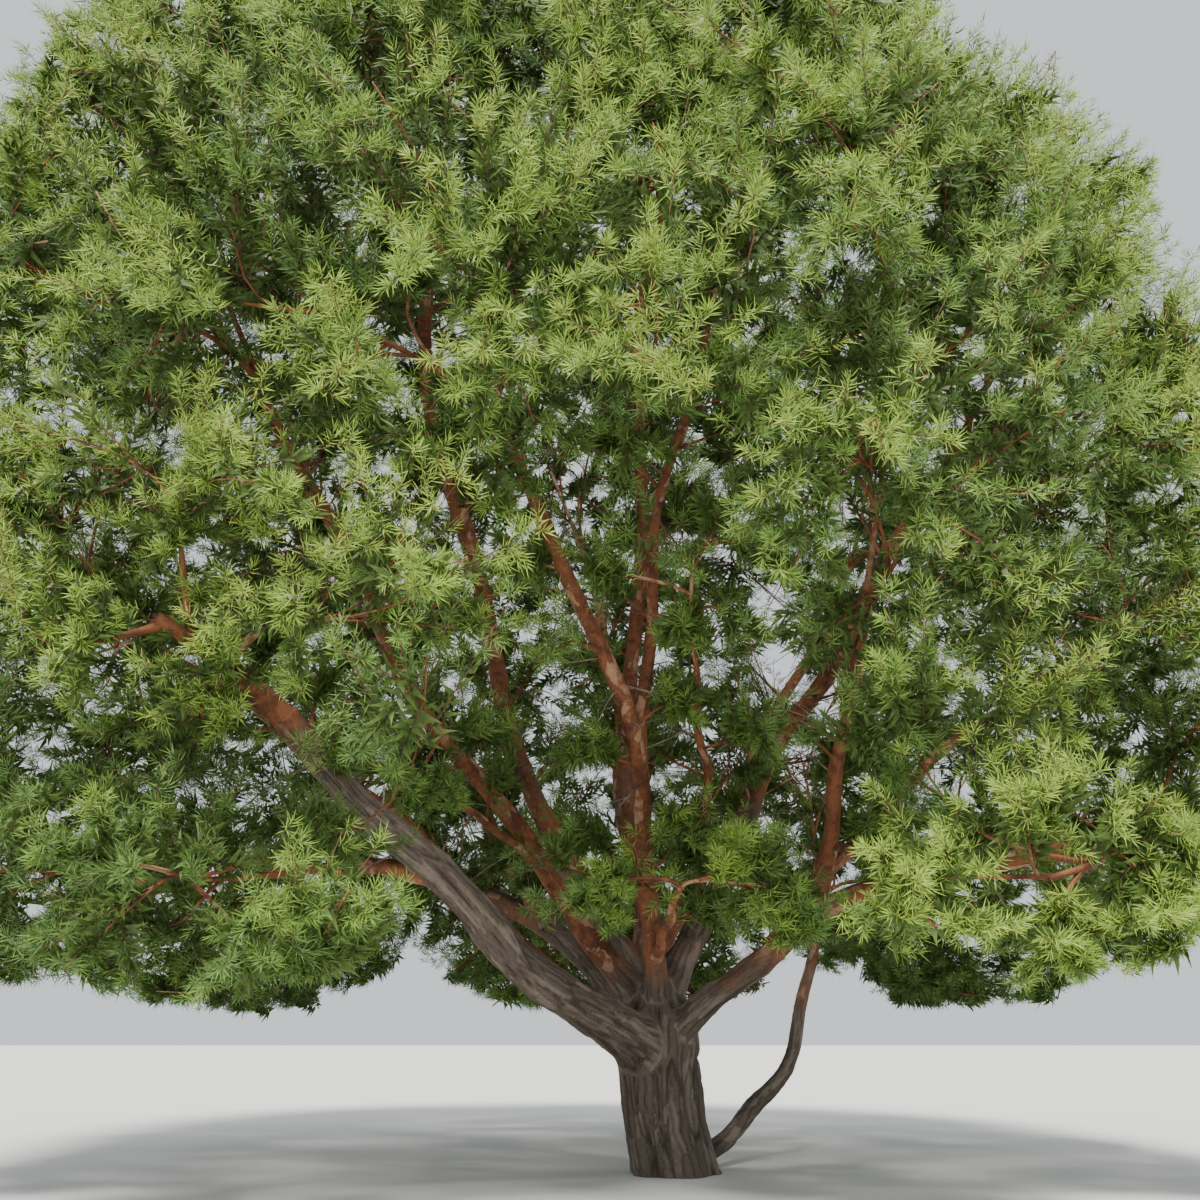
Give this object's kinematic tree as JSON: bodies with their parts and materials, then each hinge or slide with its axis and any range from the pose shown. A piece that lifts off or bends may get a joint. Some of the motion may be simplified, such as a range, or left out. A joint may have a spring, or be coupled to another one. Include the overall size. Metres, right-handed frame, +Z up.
{
  "type": "scots pine tree",
  "caption": "Old Scots pine with a short, thick, leaning trunk that forks low into spreading limbs, under a broad dome of needle masses.",
  "frame": {"origin": "middle of the flat cut under the trunk, at ground level", "axes": "+Z up the tree; -Y towards the viewer of the picture; +X to the viewer's right"},
  "size_m": [16.621, 15.4356, 16.1111],
  "materials": {
    "trunk_bark": "thick, fissured grey-brown bark plates",
    "limb_bark": "thin, flaking orange-red bark over a grey-brown foot",
    "needles": "paired green needles in tufts"
  },
  "bodies": {
    "root": {"trunk": "trunk_bark", "west_limb": "limb_bark", "north_west_limb": "limb_bark", "rear_limb": "limb_bark", "leader_limb": "limb_bark", "front_limb": "limb_bark", "north_east_limb": "limb_bark", "east_limb": "limb_bark", "low_east_limb": "limb_bark", "back_west_limb": "limb_bark", "back_limb": "limb_bark", "back_east_limb": "limb_bark", "west_low_bough": "limb_bark", "west_far_bough": "limb_bark", "west_inner_bough": "limb_bark", "front_inner_bough": "limb_bark", "front_red_bough": "limb_bark", "east_inner_bough": "limb_bark", "east_red_bough": "limb_bark", "east_far_bough": "limb_bark", "back_east_high_bough": "limb_bark", "back_west_high_bough": "limb_bark", "needles_low_1": "needles", "needles_low_2": "needles", "needles_low_3": "needles", "needles_low_4": "needles", "needles_low_5": "needles", "needles_low_6": "needles", "needles_low_7": "needles", "needles_middle_1": "needles", "needles_middle_2": "needles", "needles_middle_3": "needles", "needles_middle_4": "needles", "needles_middle_5": "needles", "needles_middle_6": "needles", "needles_middle_7": "needles", "needles_middle_8": "needles", "needles_high_1": "needles", "needles_high_2": "needles", "needles_high_3": "needles", "needles_high_4": "needles", "needles_high_5": "needles", "needles_high_6": "needles", "needles_high_7": "needles", "needles_high_8": "needles", "needles_upper_1": "needles", "needles_upper_2": "needles", "needles_upper_3": "needles", "needles_upper_4": "needles", "needles_upper_5": "needles", "needles_upper_6": "needles", "needles_upper_7": "needles", "needles_upper_8": "needles", "needles_top_1": "needles", "needles_top_2": "needles", "needles_top_3": "needles", "needles_inner_1": "needles", "needles_inner_2": "needles", "needles_inner_3": "needles", "needles_inner_4": "needles"}
  },
  "joints": []
}
